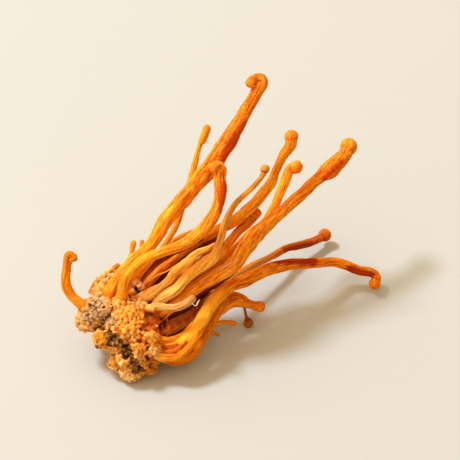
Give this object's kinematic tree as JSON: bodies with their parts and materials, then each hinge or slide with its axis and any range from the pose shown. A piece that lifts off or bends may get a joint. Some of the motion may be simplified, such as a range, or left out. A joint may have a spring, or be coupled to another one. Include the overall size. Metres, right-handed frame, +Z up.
{
  "type": "cordyceps bunch",
  "caption": "Dried cordyceps bunch lying on its side: a lumpy crusted clump with slender, knob-tipped orange stems fanning out and up to one side.",
  "frame": {"origin": "middle of the flat patch under the clump, on the surface that the bunch lies on", "axes": "+Z up. The picture's camera looks along +Y and down, so +X runs to its right and the stems fan towards +X and +Y and up."},
  "size_m": [0.0801, 0.0557, 0.0605],
  "materials": {
    "clump_crust": "matte",
    "orange_stem": "matte",
    "red_orange_stem": "matte",
    "pale_stem": "matte",
    "cream_stem": "matte",
    "brown_orange_stem": "matte"
  },
  "bodies": {
    "root": {"clump": "clump_crust", "tall_stem": "orange_stem", "thin_back_stem": "orange_stem", "crooked_stem": "orange_stem", "pale_wavy_stem": "pale_stem", "middle_club_stem": "orange_stem", "knobbed_stem": "orange_stem", "right_club_stem": "orange_stem", "low_right_stem": "red_orange_stem", "long_low_stem": "red_orange_stem", "under_stem": "brown_orange_stem", "low_back_stem": "brown_orange_stem", "pale_inner_stem": "pale_stem", "short_club_stem": "red_orange_stem", "cream_stub": "cream_stem", "left_curled_stem": "red_orange_stem", "left_sprout": "brown_orange_stem", "club_sprout": "orange_stem", "thin_sprout": "orange_stem", "hanging_knob": "brown_orange_stem", "side_twig": "brown_orange_stem"}
  },
  "joints": []
}
